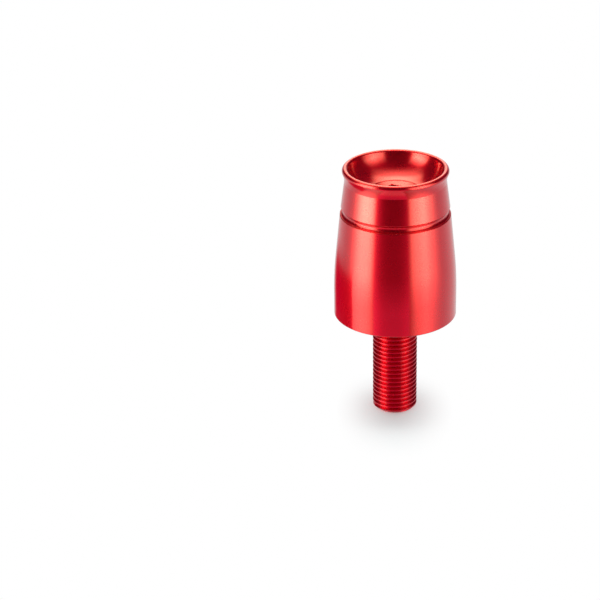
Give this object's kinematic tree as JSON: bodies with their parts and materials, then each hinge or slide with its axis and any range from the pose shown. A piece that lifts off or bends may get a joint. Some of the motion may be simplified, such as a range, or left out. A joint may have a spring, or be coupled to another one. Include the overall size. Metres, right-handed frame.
{
  "type": "bar end weight",
  "caption": "Tapered round bar end weight with a dished front, a rolled lip, a turned groove and a threaded stud that screws into a handlebar's end.",
  "frame": {"origin": "centre of the stud's flat free end, which the part stands on", "axes": "+Z along the turning axis, from the stud's end towards the dished front; +X and +Y lie square to it"},
  "size_m": [0.0326, 0.0326, 0.0693],
  "materials": {
    "red_anodised_aluminium": "bright red anodised over fine turning marks, satin gloss"
  },
  "bodies": {
    "root": {"bar_end_weight": "red_anodised_aluminium"}
  },
  "joints": []
}
